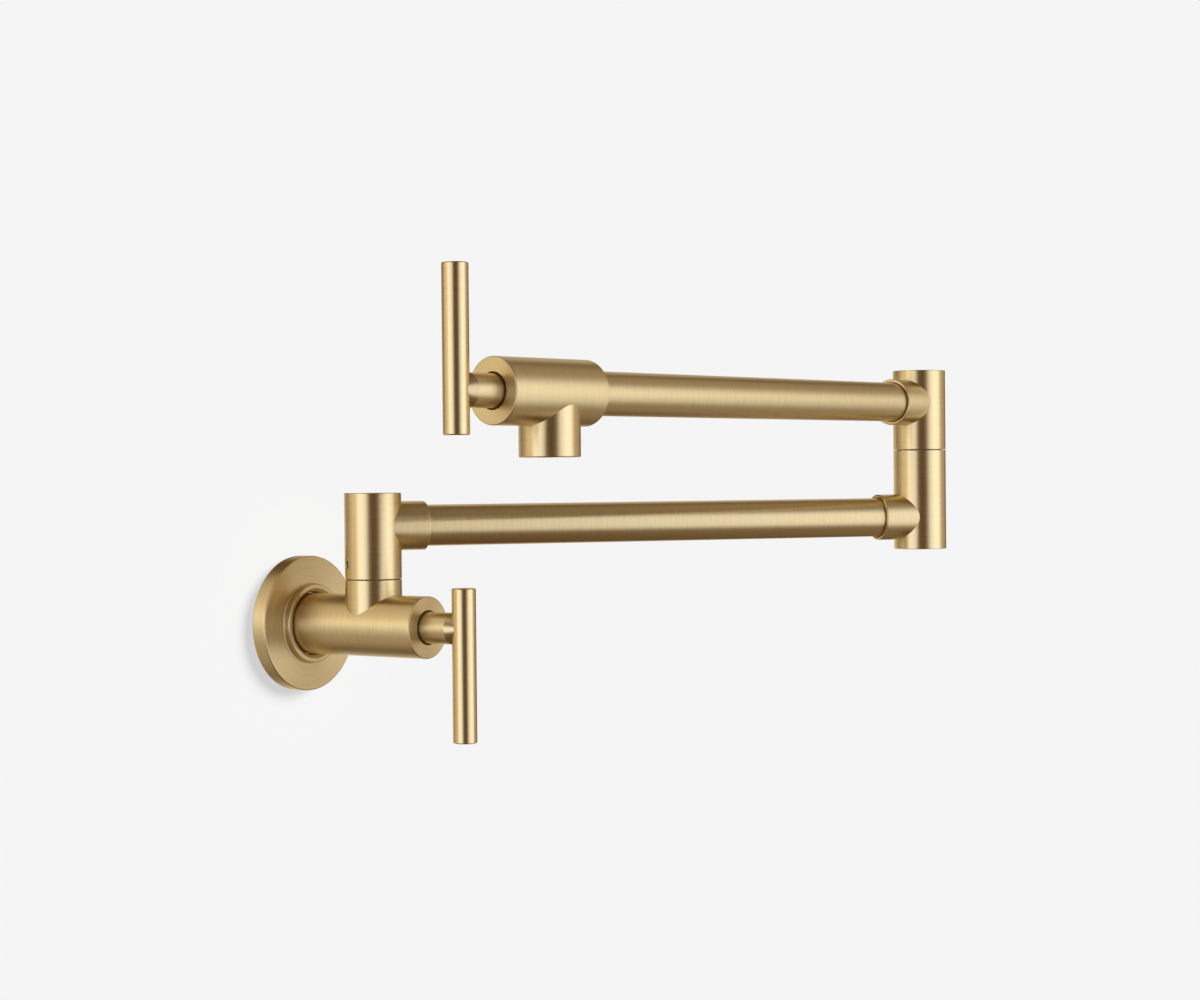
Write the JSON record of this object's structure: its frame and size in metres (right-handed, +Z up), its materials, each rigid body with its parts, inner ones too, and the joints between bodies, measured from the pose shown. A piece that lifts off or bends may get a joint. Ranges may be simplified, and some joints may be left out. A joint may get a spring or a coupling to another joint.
{
  "type": "wall mounted pot filler",
  "caption": "Folding two-arm water tap that hangs on a wall: a barrel valve, a swivelling post, two tube arms joined by a knuckle, and a downward spout with its own valve.",
  "frame": {"origin": "centre of the round wall plate's back face, on the wall's surface", "axes": "+Z up, +Y into the wall, +X to the right of someone who faces the wall"},
  "size_m": [0.3378, 0.2388, 0.2039],
  "materials": {
    "satin_brass": "fine circumferential brushing, satin",
    "raw_brass": "machined",
    "steel": "bright",
    "rubber": "matt",
    "ceramic": "lapped ceramic",
    "acetal": "moulded"
  },
  "bodies": {
    "wall_valve": {"escutcheon": "satin_brass", "escutcheon_o_ring": "rubber", "inlet_nipple": "raw_brass", "valve_body": "satin_brass", "lower_cartridge_sleeve": "raw_brass", "lower_seat_seal": "rubber", "lower_fixed_disc": "ceramic", "lower_sleeve_o_ring": "rubber", "lower_gland_nut": "raw_brass", "lower_swivel_spigot": "raw_brass", "lower_spigot_o_ring_1": "rubber", "lower_spigot_o_ring_2": "rubber", "lower_bearing_washer": "acetal"},
    "lower_handle": {"lower_handle_hub": "satin_brass", "lower_handle_bar": "satin_brass", "lower_handle_set_screw": "steel", "lower_stem": "raw_brass", "lower_stem_o_ring": "rubber", "lower_moving_disc": "ceramic"},
    "lower_arm": {"swivel_post": "satin_brass", "swivel_post_set_screw": "steel", "lower_arm_tube": "satin_brass", "lower_knuckle": "satin_brass", "knuckle_swivel_spigot": "raw_brass", "knuckle_spigot_o_ring_1": "rubber", "knuckle_spigot_o_ring_2": "rubber", "knuckle_bearing_washer": "acetal"},
    "upper_arm": {"upper_knuckle": "satin_brass", "upper_knuckle_set_screw": "steel", "upper_arm_tube": "satin_brass", "outlet_body": "satin_brass", "aerator_housing": "satin_brass", "aerator_screen": "acetal", "aerator_gasket": "rubber", "upper_cartridge_sleeve": "raw_brass", "upper_seat_seal": "rubber", "upper_fixed_disc": "ceramic", "upper_sleeve_o_ring": "rubber", "upper_gland_nut": "raw_brass"},
    "upper_handle": {"upper_handle_hub": "satin_brass", "upper_handle_bar": "satin_brass", "upper_handle_set_screw": "steel", "upper_stem": "raw_brass", "upper_stem_o_ring": "rubber", "upper_moving_disc": "ceramic"}
  },
  "joints": [
    {"name": "lower_handle_turn", "type": "hinge", "parent": "wall_valve", "child": "lower_handle", "pos_m": [0, -0.0781, 0], "axis": [0, -1, 0], "range_deg": [0, 90]},
    {"name": "lower_swivel", "type": "hinge", "parent": "wall_valve", "child": "lower_arm", "pos_m": [0, -0.0462, 0.0213], "axis": [0, 0, 1], "range_deg": [-146.3, 33.7]},
    {"name": "knuckle_swivel", "type": "hinge", "parent": "lower_arm", "child": "upper_arm", "pos_m": [0.23636, -0.20383, 0.07885], "axis": [0, 0, 1], "continuous": true},
    {"name": "upper_handle_turn", "type": "hinge", "parent": "upper_arm", "child": "upper_handle", "pos_m": [-0.06289, -0.1639, 0.10245], "axis": [-0.9912, 0.1323, 0], "range_deg": [0, 90]}
  ]
}
